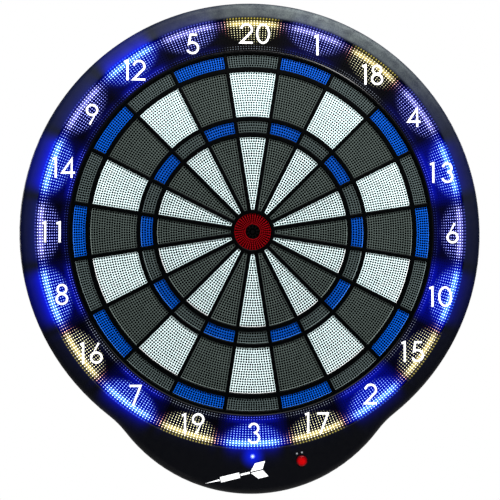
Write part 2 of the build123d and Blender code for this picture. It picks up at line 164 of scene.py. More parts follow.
# The light of each number, clockwise from 20, then its colours on the diffuser (DOTS), in painted glow on the
# number ring (the next three tables) and in painted glow on the bezel (HALO and LIP).
SECTOR_LIGHTS = [YELLOW, VIOLET, YELLOW, VIOLET, BLUE, VIOLET, BLUE, YELLOW, BLUE, YELLOW,
                 BLUE, YELLOW, BLUE, YELLOW, BLUE, VIOLET, BLUE, VIOLET, BLUE, VIOLET]
HOT_DOTS = {YELLOW: (1.2, 1.10, 0.70), VIOLET: (0.60, 0.66, 1.60), BLUE: (0.66, 1.15, 1.60)}
POOL_DOTS = {YELLOW: (1.00, 0.97, 0.54), VIOLET: (0.42, 0.48, 1.45), BLUE: (0.29, 0.53, 1.50)}
EDGE_DOTS = {YELLOW: (0.30, 0.34, 0.40), VIOLET: (0.035, 0.050, 0.30), BLUE: (0.14, 0.20, 1.60)}
END_DOTS = {YELLOW: (1.50, 0.12, 0.18), VIOLET: (0.15, 0.17, 1.10), BLUE: (0.15, 0.19, 1.10)}
POOL_RING_GLOW = {YELLOW: (0.0, 0.0, 0.0), VIOLET: (0.0, 0.0, 0.050), BLUE: (0.0, 0.002, 0.30)}
HOT_RING_GLOW = {YELLOW: (0.86, 0.70, 0.23), VIOLET: (0.20, 0.19, 0.60), BLUE: (0.14, 0.44, 0.70)}
RING_HAZE_GLOW = {YELLOW: (0.0, 0.0, 0.001), VIOLET: (0.0, 0.0, 0.010), BLUE: (0.0, 0.001, 0.12)}
HALO = {YELLOW: (0.002, 0.003, 0.0), VIOLET: (0.002, 0.004, 0.11), BLUE: (0.0, 0.004, 0.80)}
LIP = {YELLOW: (0.50, 0.42, 0.06), VIOLET: (0.08, 0.09, 0.45), BLUE: (0.03, 0.13, 0.75)}
STATUS_PLACE = (-0.5 * MM, -245 * MM)
# Colour of the status light's painted glow on the bezel round it.
STATUS_GLOW_COLOUR = (0.0, 0.01, 0.75)

# Places where painted light comes in, from the first value to the second: on the plates, down their holes,
# and as sheen and glow on the bezel.
OUTER_PAINTED_LIGHT_RADII = (130 * MM, 185 * MM)
RIM_HIGHLIGHT_HEIGHTS = (60 * MM, -40 * MM)
HOLE_PAINTED_LIGHT_RADII = (90 * MM, 140 * MM)
HOLE_PAINTED_LIGHT_HEIGHTS = (-160 * MM, 180 * MM)
SHEEN_HEIGHTS = (-220 * MM, 160 * MM)
TOP_SHEEN_HEIGHTS = (50 * MM, 270 * MM)
TOP_SHEEN_SIDES = (-130 * MM, 100 * MM)
TOP_SHEEN_INNER_RADII = (236.5 * MM, 240.5 * MM)
TOP_SHEEN_OUTER_RADII = (253.5 * MM, 251.5 * MM)
HALO_HEIGHTS = (-250 * MM, -70 * MM)
HALO_SIDES = (220 * MM, -120 * MM)
HALO_DEPTHS = (-30 * MM, -40 * MM)

# Grain of moulded plastic, the size of its uneven patches, how dark they get and how uneven its gloss is.
GRAIN = 0.5 * MM
PATCHES = 14 * MM
PATCH_SHADE = 0.85
UNEVEN_GLOSS = 0.16

# Each plate's colour, how much painted light makes its outer rows stronger than the inner one (below 1,
# painted shade makes them weaker), and how much of the colour shows through the painted shade down its holes
# at the bottom and at the top of the board.
PLATE_COLOURS = {
    "white_plate": ((0.80, 1.0, 1.0), 1.02, 0.0, 0.55),
    "dark_plate": ((0.067, 0.086, 0.079), 0.86, 0.0, 0.0),
    "grey_plate": ((0.058, 0.077, 0.076), 1.35, 0.0, 0.0),
    "blue_plate": ((0.001, 0.068, 0.42), 1.45, 0.10, 0.22),
    "bull_red": ((0.25, 0.0, 0.003), 1.0, 0.04, 0.10),
    "inner_bull_black": ((0.0, 0.0, 0.0), 1.0, 0.5, 0.5),
}
# How much lighter the painted highlight on a plate's outer rim is: times the first, plus the second.
RIM_HIGHLIGHT_SHADE = (3.0, 0.04)

# Colours of the other materials. A pair is the two colours that a material varies between.
WEB_BLACK = (0.0006, 0.0008, 0.001)
RIM_BLACK = (0.002, 0.002, 0.003)
RING_BLACKS = ((0.0, 0.0, 0.0), (0.001, 0.001, 0.001))
# The bezel's black, darker at the bottom and lighter under painted sheen towards the top.
BEZEL_BLACKS = ((0.0003, 0.0005, 0.0016), (0.004, 0.006, 0.017))
# Colour of the painted sheen on the top of the bezel.
TOP_SHEEN_COLOUR = (0.132, 0.155, 0.152)
CASING_BLACKS = ((0.010, 0.010, 0.011), (0.022, 0.022, 0.024))
CIRCUIT_GREENS = ((0.006, 0.07, 0.022), (0.02, 0.17, 0.05))
CIRCUIT_PADS = (0.55, 0.5, 0.36)
MAT_BLACK = (0.012, 0.012, 0.012)
PAD_BLACK = (0.016, 0.016, 0.018)
FILM_GREYS = ((0.42, 0.46, 0.45), (0.74, 0.75, 0.76))
HARDBOARD_BROWNS = ((0.13, 0.07, 0.03), (0.30, 0.18, 0.09))
SOCKET_METAL = (0.62, 0.62, 0.62)
SCREW_METAL = (0.5, 0.5, 0.51)
SPEAKER_BLACKS = ((0.012, 0.012, 0.013), (0.05, 0.045, 0.04))
LENS_BLUES = ((0.0, 0.06, 0.95), (0.75, 0.95, 1.0))
LENS_MARK = (0.22, 0.22, 0.22)
# The button's red under painted shade at its rim.
BUTTON_RIM_SHADE_RED = (0.12, 0.0, 0.002)
BUTTON_RED = (0.50, 0.0, 0.001)
PRINT_WHITES = ((0.80, 0.81, 0.83), (0.9, 0.9, 0.9))
# Painted glow of the white print.
PRINT_PAINTED_GLOWS = ((0.42, 0.42, 0.43), (0.5, 0.5, 0.5))
FLOOR_GREYS = ((0.78, 0.78, 0.78), (0.84, 0.84, 0.84))

# Camera.
CAMERA_AZIMUTH = math.radians(-3.46)
CAMERA_ELEVATION = math.radians(-2.39)
CAMERA_DISTANCE = 1.1
CAMERA_TARGET = (-0.0031, -0.038, -0.0203)
CAMERA_LENS = 72.0
CAMERA_SENSOR = 36.0

# Studio. Each light is its name, its place, what it points at, its two sides and its power.
LIGHTS = [
    ("overhead", (0.38, -1.0, 1.15), (0, 0, 0.05), (1.3, 0.8), 58.5),
    ("back_fill", (0.8, 1.8, 1.4), (0, 0, 0), (1.5, 1.5), 22.0),
    ("right_fill", (1.2, 1.1, 0.3), (0, 0, 0), (0.8, 0.8), 14.0),
    ("left_fill", (-1.2, 1.1, 0.3), (0, 0, 0), (0.8, 0.8), 14.0),
]
SKY_STRENGTH = 0.05
FLOOR_LEVEL = -0.62
FLOOR_R = 1.1
FLOOR_SIDES = 96


# -------------------- meshes

def place(radius, angle, level):
    return (radius * math.sin(angle), -level, radius * math.cos(angle))


class Shell:
    """The points and faces of a closed shape as it is built up. A kind is a material's place in its list."""

    def __init__(self):
        self.points = []
        self.faces = []
        self.kinds = []

    def add(self, points):
        first = len(self.points)
        self.points.extend(points)
        return list(range(first, first + len(points)))

    def face(self, corners, kind=0):
        self.faces.append(tuple(corners))
        self.kinds.append(kind)

    def bridge(self, first, second, kind=0):
        """Quads between two closed loops of the same length."""
        for index in range(len(first)):
            after = (index + 1) % len(first)
            self.face((first[index], first[after], second[after], second[index]), kind)

    def zip_rows(self, low, high):
        """Triangles between two rows of evenly spaced points that differ in number."""
        below, above = 0, 0
        while below < len(low) - 1 or above < len(high) - 1:
            next_low = (below + 1) / (len(low) - 1)
            next_high = (above + 1) / (len(high) - 1)
            if above == len(high) - 1 or (below < len(low) - 1 and next_low <= next_high):
                self.face((low[below], low[below + 1], high[above]))
                below += 1
            else:
                self.face((low[below], high[above + 1], high[above]))
                above += 1

    def settled(self):
        """The same shape with joined seams and outward faces, as arrays that can be turned and reused."""
        mesh = bpy.data.meshes.new("settling")
        mesh.from_pydata(self.points, [], self.faces)
        mesh.polygons.foreach_set("material_index", self.kinds)
        work = bmesh.new()
        work.from_mesh(mesh)
        bmesh.ops.remove_doubles(work, verts=work.verts, dist=MM / 1000)
        bmesh.ops.recalc_face_normals(work, faces=work.faces)
        work.to_mesh(mesh)
        work.free()
        points = np.empty(len(mesh.vertices) * 3)
        mesh.vertices.foreach_get("co", points)
        faces = [tuple(face.vertices) for face in mesh.polygons]
        kinds = [face.material_index for face in mesh.polygons]
        bpy.data.meshes.remove(mesh)
        return points.reshape(-1, 3), faces, kinds


def turned(points, angle):
    """Points turned clockwise about the bull's axis."""
    cosine, sine = math.cos(angle), math.sin(angle)
    x, y, z = points.T
    return np.column_stack((x * cosine + z * sine, y, z * cosine - x * sine))


def new_object(name, data):
    made = bpy.data.objects.new(name, data)
    bpy.context.scene.collection.objects.link(made)
    return made


def piece(name, body, slot, looks, points, faces, kinds):
    """A flat-shaded object that rides on a body, with its looks as materials; its slot is not used."""
    mesh = bpy.data.meshes.new(name)
    mesh.from_pydata([tuple(point) for point in points], [], faces)
    for material in looks:
        mesh.materials.append(material)
    mesh.polygons.foreach_set("material_index", kinds)
    mesh.update()
    made = new_object(name, mesh)
    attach(made, body)
    return made


def pierce(shell, corners, radius, angle, room, wide=1.0):
    """A blind hole with a flared mouth in one four-cornered cell. Its walls are of the second kind."""
    centre = Vector(place(radius, angle, PLATE_TOP))
    across = Vector((math.cos(angle), 0, -math.sin(angle)))
    outward = Vector((math.sin(angle), 0, math.cos(angle)))
    spots = []
    for index in range(HOLE_SIDES):
        turn = 2 * math.pi * (index - 0.5) / HOLE_SIDES - math.pi / 2
        spots.append(across * (math.cos(turn) * min(1.0, room)) + outward * math.sin(turn))
    rings = []
    for size, depth in ((HOLE_MOUTH_R, 0.0), (HOLE_R, FUNNEL_DEPTH), (HOLE_R, HOLE_DEPTH)):
        sunk = centre + Vector((0, depth, 0))
        rings.append(shell.add([tuple(sunk + spot * (size * wide)) for spot in spots]))
    shell.bridge(rings[0], rings[1], 1)
    shell.bridge(rings[1], rings[2], 1)
    shell.face(rings[2], 1)
    share = HOLE_SIDES // 4
    for corner in range(4):
        first = corner * share
        run = [rings[0][(first + step) % HOLE_SIDES] for step in range(share)]
        after = (corner + 1) % 4
        shell.face([corners[corner], corners[after], *reversed(run)])
        shell.face((corners[after], rings[0][(first + share) % HOLE_SIDES], run[-1]))


def half_angle(radius, inset):
    """Half the angle that a plate takes up at a radius, with its sides parallel to the ribs."""
    return SECTOR / 2 - math.asin((WEB_GAP / 2 + inset) / radius)


def plate_side(radius, inwards, flange_r, flange_top):
    """The profile of a plate's side: a chamfer, a straight wall, and a step to the edge of its flange."""
    return [(radius + inwards * PLATE_CHAMFER, PLATE_TOP), (radius, PLATE_TOP - PLATE_CHAMFER),
            (radius, flange_top), (flange_r, flange_top), (flange_r, FLANGE_LOW)]


def row_bounds(low, high, row, rows):
    """The inner edge, the outer edge and the middle of a row of holes, clear of the seams beside it."""
    pitch = (high - low) / rows
    foot = low + row * pitch + (ROW_SEAM / 2 if row else 0)
    head = low + (row + 1) * pitch - (ROW_SEAM / 2 if row < rows - 1 else 0)
    return foot, head, low + (row + 0.5) * pitch


def plate_shape(radii, wide=1.0):
    """A scoring plate at the top of the board: rows of dart holes, a chamfered rim and a rear flange."""
    inner, outer = radii
    low, high = inner + PLATE_RIM, outer - PLATE_RIM
    shell = Shell()
    rows = round((high - low) / ROW_PITCH)
    border_right, border_left = [], []
    previous = None
    for row in range(rows):
        foot, head, middle = row_bounds(low, high, row, rows)
        span = half_angle(middle, PLATE_RIM)
        count = max(1, round(2 * middle * span / COLUMN_PITCH))
        steps = [2 * index / count - 1 for index in range(count + 1)]
        edges = [shell.add([place(radius, step * half_angle(radius, PLATE_RIM), PLATE_TOP) for step in steps])
                 for radius in (foot, head)]
        for index in range(count):
            corners = (edges[0][index], edges[0][index + 1], edges[1][index + 1], edges[1][index])
            angle = (steps[index] + steps[index + 1]) / 2 * span
            pierce(shell, corners, middle, angle, (2 * middle * span / count) / COLUMN_PITCH, wide)
        if previous:
            shell.zip_rows(previous, edges[0])
        previous = edges[1]
        if row == 0:
            bottom_edge = list(zip(edges[0], [(0.0, step) for step in steps]))
        for edge, radius in zip(edges, (foot, head)):
            share = (radius - low) / (high - low)
            border_right.append((edge[-1], (share, 1.0)))
            border_left.append((edge[0], (share, -1.0)))
    top_edge = list(zip(previous, [(1.0, step) for step in steps]))
    border = bottom_edge[:-1] + border_right[:-1] + top_edge[::-1][:-1] + border_left[::-1][:-1]
    loop = [index for index, _ in border]
    for inset, level in plate_side(0.0, 1, -FLANGE_LIP, FLANGE_TOP):
        ring = []
        for _, (share, step) in border:
            radius = inner + inset + share * (outer - inner - 2 * inset)
            ring.append(place(radius, step * half_angle(radius, inset), level))
        after = shell.add(ring)
        shell.bridge(loop, after)
        loop = after
    shell.face(loop)
    return shell.settled()


def disc_shape(radii, holes, inside, outside):
    """A round plate with rows of holes. Its inside and outside are profiles of radius and level."""
    rows, count = holes
    low, high = radii[0] + PLATE_RIM, radii[1] - PLATE_RIM
    shell = Shell()
    previous = None
    turns = [2 * math.pi * index / count for index in range(count)]
    for row in range(rows):
        foot, head, middle = row_bounds(low, high, row, rows)
        edges = [shell.add([place(radius, turn, PLATE_TOP) for turn in turns]) for radius in (foot, head)]
        edges = [edge + edge[:1] for edge in edges]
        for index in range(count):
            corners = (edges[0][index], edges[0][index + 1], edges[1][index + 1], edges[1][index])
            room = 2 * math.pi * middle / count / COLUMN_PITCH
            pierce(shell, corners, middle, turns[index] + math.pi / count, room)
        if row == 0:
            first = edges[0][:-1]
        else:
            shell.zip_rows(previous, edges[0])
        previous = edges[1]
    ends = []
    for loop, profile in ((first, inside), (previous[:-1], outside)):
        for radius, level in profile:
            after = shell.add([place(radius, turn, level) for turn in turns])
            shell.bridge(loop, after)
            loop = after
        ends.append(loop)
    if inside:
        shell.zip_rows(ends[0] + ends[0][:1], ends[1] + ends[1][:1])
    else:
        shell.face(ends[0])
        shell.face(ends[1])
    return shell.settled()


def web_cell(shell, radii, middles, sector):
    """The part of the web round one cell: its top, the cell's bevelled walls and its underside."""
    steps = [2 * index / WEB_SIDES - 1 for index in range(WEB_SIDES + 1)]
    rim = [(0, step) for step in steps] + [(1, step) for step in reversed(steps)]
    centre = sector * SECTOR

    def outer_loop(level):
        return shell.add([place(middles[end], centre + step * SECTOR / 2, level) for end, step in rim])

    def cell_loop(grow, level):
        reach = (radii[0] - grow, radii[1] + grow)
        return shell.add([place(reach[end], centre + step * half_angle(reach[end], -grow), level)
                          for end, step in rim])

    loops = [outer_loop(WEB_TOP)]
    loops += [cell_loop(WEB_CLEARANCE + back, WEB_TOP - down) for back, down in WEB_EDGE]
    loops += [cell_loop(WEB_CLEARANCE, WEB_LOW), outer_loop(WEB_LOW)]
    for first, second in zip(loops, loops[1:]):
        shell.bridge(first, second)


def open_profile(shell, profile, sides, kind=0):
    """An open profile swept round the axis, which closes against the web's cells."""
    turns = [2 * math.pi * (index / sides) - SECTOR / 2 for index in range(sides)]
    loops = [shell.add([place(radius, turn, level) for turn in turns]) for radius, level in profile]
    for first, second in zip(loops, loops[1:]):
        shell.bridge(first, second, kind)


def web_shape():
    """The web in one shape: its cells, the hole round the bull, the rim's slope and the skirt."""
    shell = Shell()
    middles = [BULL_WEB_R[1], (INNER_SINGLE[1] + TRIPLE[0]) / 2, (TRIPLE[1] + OUTER_SINGLE[0]) / 2,
               (OUTER_SINGLE[1] + DOUBLE[0]) / 2, SKIRT_R[0]]
    for ring, radii in enumerate(PLATE_ROWS):
        for sector in range(SECTORS):
            web_cell(shell, radii, middles[ring:ring + 2], sector)
    sides = SECTORS * WEB_SIDES
    hole, joint = BULL_WEB_R
    bevel = [(hole + back, WEB_TOP - down) for back, down in WEB_EDGE]
    open_profile(shell, [(joint, WEB_TOP), *bevel, (hole, WEB_LOW), (joint, WEB_LOW)], sides)
    slope = [(WEB_RIM_R - RIM_SLOPE[0], RIM_TOP), (WEB_RIM_R, RIM_TOP - RIM_SLOPE[1])]
    open_profile(shell, [(SKIRT_R[0], WEB_TOP), (SKIRT_R[0] + BEVEL_BEND, RIM_TOP - WEB_BEVEL),
                         (SKIRT_R[0] + WEB_BEVEL, RIM_TOP), slope[0]], sides)
    open_profile(shell, slope, sides, 1)
    open_profile(shell, [slope[1], (WEB_RIM_R, RING_TOP), (SKIRT_R[1], RING_TOP), (SKIRT_R[1], SKIRT_LOW),
                         (SKIRT_R[0], SKIRT_LOW), (SKIRT_R[0], WEB_LOW)], sides)
    return shell.settled()


def ring_shape():
    """The number ring: an even grid of six-sided holes that go right through."""
    shell = Shell()
    angles = [2 * math.pi * index / RING_COLUMNS for index in range(RING_COLUMNS)]
    radii = [RING_FIRST_ROW + (row - 0.5) * RING_ROW_PITCH for row in range(RING_ROWS + 1)]
    sides = []
    for level in (RING_TOP, RING_LOW):
        grid = [shell.add([place(radius, angle, level) for angle in angles]) for radius in radii]
        loops = []
        for row in range(RING_ROWS):
            middle = RING_FIRST_ROW + row * RING_ROW_PITCH
            for index in range(RING_COLUMNS):
                after = (index + 1) % RING_COLUMNS
                corners = (grid[row][index], grid[row][after], grid[row + 1][after], grid[row + 1][index])
                loops.append(hexagon(shell, corners, middle, angles[index] + math.pi / RING_COLUMNS, level))
        inner = shell.add([place(RING_R[0], angle, level) for angle in angles])
        outer = shell.add([place(RING_R[1], angle, level) for angle in angles])
        shell.bridge(inner, grid[0])
        shell.bridge(grid[-1], outer)
        sides.append([*loops, inner, outer])
    for top, bottom in zip(*sides):
        shell.bridge(top, bottom)
    return shell.settled()


def hexagon(shell, corners, radius, angle, level):
    """A six-sided hole in a four-cornered cell, left open. Returns its rim."""
    centre = Vector(place(radius, angle, level))
    across = Vector((math.cos(angle), 0, -math.sin(angle))) * RING_HOLE[0]
    outward = Vector((math.sin(angle), 0, math.cos(angle))) * RING_HOLE[1]
    spots = [(-0.5, -1), (0.5, -1), (1, 0), (0.5, 1), (-0.5, 1), (-1, 0)]
    rim = shell.add([tuple(centre + across * x + outward * z) for x, z in spots])
    for half in range(2):
        near, far, beyond = (corners[(2 * half + step) % 4] for step in range(3))
        first, second, third, fourth = (rim[(3 * half + step) % 6] for step in range(4))
        shell.face((near, far, second, first))
        shell.face((far, third, second))
        shell.face((far, beyond, third))
        shell.face((beyond, fourth, third))
    return rim


# -------------------- numerals

def arc(centre, radii, start, end, steps=ARC_STEPS):
    """Points on an ellipse, in degrees clockwise from its top."""
    turns = [math.radians(start + (end - start) * index / steps) for index in range(steps + 1)]
    return [(centre[0] + radii[0] * math.sin(turn), centre[1] + radii[1] * math.cos(turn)) for turn in turns]


def round_loop(centre, radii):
    return arc(centre, radii, 0, 360, LOOP_STEPS)[:-1]


def digit_strokes():
    """Each digit's strokes, one unit high. A stroke is its points, and whether it closes on itself."""
    three = arc((0, 0.735), (0.215, 0.215), -80, 165) + arc((0, 0.285), (0.25, 0.235), 15, 255)
    return {
        "0": [(round_loop((0, 0.5), (0.29, 0.45)), True)],
        "1": [([(-0.15, 0.90), (0.0, 0.955), (0.0, 0.0)], False)],
        "2": [(arc((0, 0.69), (0.26, 0.26), -80, 115) + [(-0.27, 0.05), (0.3, 0.05)], False)],
        "3": [(three, False)],
        "4": [([(0.13, 0.0), (0.13, 0.9), (-0.31, 0.25), (0.29, 0.25)], False)],
        "5": [([(0.22, 0.95), (-0.1, 0.95)] + arc((0, 0.31), (0.27, 0.26), -40, 245), False)],
        "6": [([(0.11, 0.98)] + arc((0, 0.285), (0.25, 0.24), -70, 290, LOOP_STEPS), False)],
        "7": [([(-0.27, 0.95), (0.25, 0.95), (-0.11, 0.0)], False)],
        "8": [(round_loop((0, 0.74), (0.205, 0.205)), True), (round_loop((0, 0.275), (0.25, 0.235)), True)],
        "9": [([(-0.11, 0.02)] + arc((0, 0.715), (0.25, 0.24), 110, 470, LOOP_STEPS), False)],
    }


def ribbon(shell, points, closed, width, low, high):
    """A flat stroke of even width along a line of points in the XZ plane, with mitred corners."""
    line = [Vector(point) for point in points]
    count = len(line)
    sides = ([], [])
    for index, point in enumerate(line):
        arms = []
        if closed or index:
            arms.append((point - line[index - 1]).normalized())
        if closed or index < count - 1:
            arms.append((line[(index + 1) % count] - point).normalized())
        along = sum(arms, Vector((0, 0))).normalized()
        normal = Vector((-along.y, along.x))
        bend = max(MITRE_LIMIT, abs(normal.dot(Vector((-arms[0].y, arms[0].x)))))
        for side, sign in zip(sides, (-1, 1)):
            side.append(point + normal * (sign * width / 2 / bend))
    loops = [shell.add([(spot.x, -level, spot.y) for spot in side])
             for level in (high, low) for side in sides]
    top_left, top_right, low_left, low_right = loops
    edges = (top_left, top_right, low_right, low_left)
    for index in range(count if closed else count - 1):
        after = (index + 1) % count
        for first, second in zip(edges, edges[1:] + edges[:1]):
            shell.face((first[index], second[index], second[after], first[after]))
    if not closed:
        for end in (0, -1):
            shell.face([edge[end] for edge in edges])


def numeral_shape(number, angle):
    """The strokes of one number, upright, on the number ring at its sector."""
    shell = Shell()
    digits = str(number)
    right, up = NUMERAL_NUDGES.get(number, (0, 0))
    x_middle = NUMERAL_R * math.sin(angle) + NUMERAL_CENTRE[0] + right * MM
    z_middle = NUMERAL_R * math.cos(angle) + NUMERAL_CENTRE[1] + up * MM
    for index, digit in enumerate(digits):
        x_digit = x_middle + (index - (len(digits) - 1) / 2) * DIGIT_STEPS.get(number, DIGIT_STEP)
        for points, closed in digit_strokes()[digit]:
            placed = [(x_digit + x * NUMERAL_HEIGHT, z_middle + (z - NUMERAL_BELOW) * NUMERAL_HEIGHT)
                      for x, z in points]
            ribbon(shell, placed, closed, NUMERAL_STROKE, RING_TOP, RING_TOP + PRINT_THICKNESS)
    return shell.settled()


def emblem_shape():
    """A plain dart pictogram, pointing down to the left."""
    shell = Shell()
    lower_flight = [(x, -z) for x, z in DART_OUTLINES[-1]]
    size = EMBLEM_SIZE * MM
    along, across = size * math.cos(EMBLEM_TILT), size * math.sin(EMBLEM_TILT)
    for outline in (*DART_OUTLINES, lower_flight):
        placed = [(EMBLEM_PLACE[0] + x * along - z * across, EMBLEM_PLACE[1] + x * across + z * along)
                  for x, z in outline]
        loops = []
        for level in (PANEL_TOP + PRINT_THICKNESS, PANEL_TOP):
            loops.append(shell.add([(x, -level, z) for x, z in placed]))
        shell.face(loops[0])
        shell.face(loops[1])
        shell.bridge(*loops)
    return shell.settled()


# -------------------- materials

class Field:
    """A value that varies over a surface, so that shader maths reads like ordinary maths."""

    def __init__(self, tree, socket):
        self.tree = tree
        self.new = tree.nodes.new
        self.link = tree.links.new
        self.socket = socket

    def apply(self, operation, *others):
        node = self.new("ShaderNodeMath")
        node.operation = operation
        for index, value in enumerate((self, *others)):
            if isinstance(value, Field):
                self.link(value.socket, node.inputs[index])
            else:
                node.inputs[index].default_value = value
        return Field(self.tree, node.outputs[0])

    def __add__(self, other):
        return self.apply("ADD", other)

    def __sub__(self, other):
        return self.apply("SUBTRACT", other)

    def __mul__(self, other):
        return self.apply("MULTIPLY", other)

    def step(self, start, end):
        """0 before start, 1 after end, with a smooth rise between. It falls if start is the larger."""
        node = self.new("ShaderNodeMapRange")
        node.interpolation_type = "SMOOTHSTEP"
        self.link(self.socket, node.inputs["Value"])
        node.inputs["From Min"].default_value = start
        node.inputs["From Max"].default_value = end
        return Field(self.tree, node.outputs[0])

    def hump(self, centre, width):
        """A bell of height 1."""
        offset = (self - centre) * (1 / width)
        return (offset * offset * -0.5).apply("EXPONENT")


class Material:
    """A principled material with its object coordinates at hand."""

    def __init__(self, name, **values):
        self.made = bpy.data.materials.new(name)
        self.made.use_nodes = True
        self.tree = self.made.node_tree
        self.new = self.tree.nodes.new
        self.link = self.tree.links.new
        self.shader = self.tree.nodes["Principled BSDF"]
        for word, value in values.items():
            socket = word.replace("_", " ").title().replace("Ior", "IOR")
            self.shader.inputs[socket].default_value = value
        self.place = self.new("ShaderNodeTexCoord").outputs["Object"]
        split = self.new("ShaderNodeSeparateXYZ")
        self.link(self.place, split.inputs[0])
        self.x, self.y, self.z = (Field(self.tree, output) for output in split.outputs)

    def noise(self, size, detail=2.0, stretch=None):
        """Cloudy values from 0 to 1, with features of about this size."""
        node = self.new("ShaderNodeTexNoise")
        node.inputs["Scale"].default_value = 1 / size
        node.inputs["Detail"].default_value = detail
        source = self.place
        if stretch:
            scale = self.new("ShaderNodeMapping")
            scale.inputs["Scale"].default_value = stretch
            self.link(self.place, scale.inputs["Vector"])
            source = scale.outputs[0]
        self.link(source, node.inputs["Vector"])
        return Field(self.tree, node.outputs["Fac"])

    def cells(self, size, feature="F1"):
        """Values that grow from the middle of each small irregular cell."""
        node = self.new("ShaderNodeTexVoronoi")
        node.feature = feature
        node.inputs["Scale"].default_value = 1 / size
        self.link(self.place, node.inputs["Vector"])
        return Field(self.tree, node.outputs["Distance"])

    def blend(self, factor, first, second):
        """A colour between two others, each a constant or a node's output."""
        node = self.new("ShaderNodeMix")
        node.data_type = "RGBA"
        self.link(factor.socket, node.inputs["Factor"])
        for index, value in ((6, first), (7, second)):
            if isinstance(value, tuple):
                node.inputs[index].default_value = (*value, 1.0)
            else:
                self.link(value, node.inputs[index])
        return node.outputs[2]

    def glow(self, colour, strength):
        """A colour socket scaled by a field, for the emission."""
        node = self.new("ShaderNodeVectorMath")
        node.operation = "SCALE"
        self.link(colour, node.inputs[0])
        self.link(strength.socket, node.inputs["Scale"])
        return node.outputs[0]

    def total(self, first, *others):
        """The sum of colour sockets."""
        for other in others:
            node = self.new("ShaderNodeVectorMath")
            node.operation = "ADD"
            self.link(first, node.inputs[0])
            self.link(other, node.inputs[1])
            first = node.outputs[0]
        return first

    def emit(self, colour):
        self.link(colour, self.shader.inputs["Emission Color"])
        self.shader.inputs["Emission Strength"].default_value = 1.0

    def colour(self, output):
        self.base = output
        self.link(output, self.shader.inputs["Base Color"])

    def roughness(self, field):
        self.link(field.socket, self.shader.inputs["Roughness"])

    def bump(self, height, depth):
        """Relief as deep as this where the height goes from 0 to 1."""
        node = self.new("ShaderNodeBump")
        node.inputs["Strength"].default_value = 1.0
        node.inputs["Distance"].default_value = depth
        self.link(height.socket, node.inputs["Height"])
        self.link(node.outputs[0], self.shader.inputs["Normal"])

    def radius(self):
        """How far a point is from the bull's axis."""
        return (self.x * self.x + self.z * self.z).apply("SQRT")

    def distance(self, x, z):
        """How far a point is from another one, as the player sees them."""
        across, up = self.x - x, self.z - z
        return (across * across + up * up).apply("SQRT")

    def sectors(self):
        """The angle from the top, clockwise, counted in sectors from 0 to 20."""
        turn = self.x.apply("ARCTAN2", self.z) * (1 / SECTOR)
        return turn.apply("FLOORED_MODULO", float(SECTORS))

    def from_sector_middle(self):
        """How far a point is from the middle of its sector, from 0 to a half."""
        return ((self.sectors() + 0.5).apply("FRACT") - 0.5).apply("ABSOLUTE")

    def sector_colour(self, colours, soft=0.12):
        """Each sector's colour, blending over into the next one near the line between them."""
        turn = self.sectors()
        whole = turn.apply("FLOOR")
        eased = whole + (turn - whole).step(0.5 - soft, 0.5 + soft)
        ramp = self.new("ShaderNodeValToRGB")
        stops = ramp.color_ramp.elements
        for index in range(1, SECTORS):
            stops.new(index / SECTORS)
        for stop, light in zip(stops, SECTOR_LIGHTS + SECTOR_LIGHTS[:1]):
            stop.color = (*colours[light], 1.0)
        self.link((eased * (1 / SECTORS)).socket, ramp.inputs[0])
        return ramp.outputs[0]


def scaled(colour, factor, more=0.0):
    """A colour that is this many times as strong, and lighter by the rest, up to white."""
    return tuple(min(1.0, part * factor + more) for part in colour)


def moulded(name, colour, roughness, depth=0.01 * MM, **values):
    """Moulded plastic: a fine grain, slightly uneven colour and slightly uneven gloss."""
    made = Material(name, **values)
    patches = made.noise(PATCHES, 4.0).step(0.3, 0.7)
    made.colour(made.blend(patches, scaled(colour, PATCH_SHADE), colour))
    made.roughness(made.noise(5 * MM, 3.0) * UNEVEN_GLOSS + (roughness - UNEVEN_GLOSS / 2))
    made.bump(made.noise(GRAIN, 3.0), depth)
    return made


def plate_material(slot, colour, outer_painted_light):
    """Plastic with painted light that changes its brightness towards the outer rows, and painted highlights
    on the outer rims low on the board.
    """
    made = moulded(slot, colour, roughness=0.36, specular_ior_level=0.10)
    radius = made.radius()
    # Painted light: towards the outer rows the colour turns into a scaled copy, lighter on most plates and
    # darker on the dark ones.
    outer_light_mask = radius.step(*OUTER_PAINTED_LIGHT_RADII) * (made.noise(PATCHES, 4.0) * 0.3 + 0.75)
    made.colour(made.blend(outer_light_mask, made.base, scaled(colour, outer_painted_light)))
    # Painted highlight along the plates' outer rims in the lower half of the board.
    rims = [radius.hump(outer - PLATE_RIM / 2, PLATE_RIM) for _, outer in PLATE_ROWS]
    rim_highlight = (rims[0] + rims[1] + rims[2] + rims[3]) * made.z.step(*RIM_HIGHLIGHT_HEIGHTS)
    made.colour(made.blend(rim_highlight, made.base, scaled(colour, *RIM_HIGHLIGHT_SHADE)))
    return made.made


def hole_material(slot, colour, hole_light_low, hole_light_high):
    """The walls of a plate's holes: the plate's colour under painted shade, with painted light towards the
    top of the board and the outer rows.
    """
    made = Material(f"{slot}_hole", roughness=0.8, specular_ior_level=0.0)
    # Painted light down the holes: more towards the outer rows and the top of the board.
    outer = made.radius().step(*HOLE_PAINTED_LIGHT_RADII) * 0.8 + 0.2
    lit = made.z.step(*HOLE_PAINTED_LIGHT_HEIGHTS) * outer * (made.noise(12 * MM) * 0.4 + 0.8)
    made.colour(made.blend(lit, scaled(colour, hole_light_low), scaled(colour, hole_light_high)))
    made.bump(made.noise(GRAIN), 0.01 * MM)
    return made.made


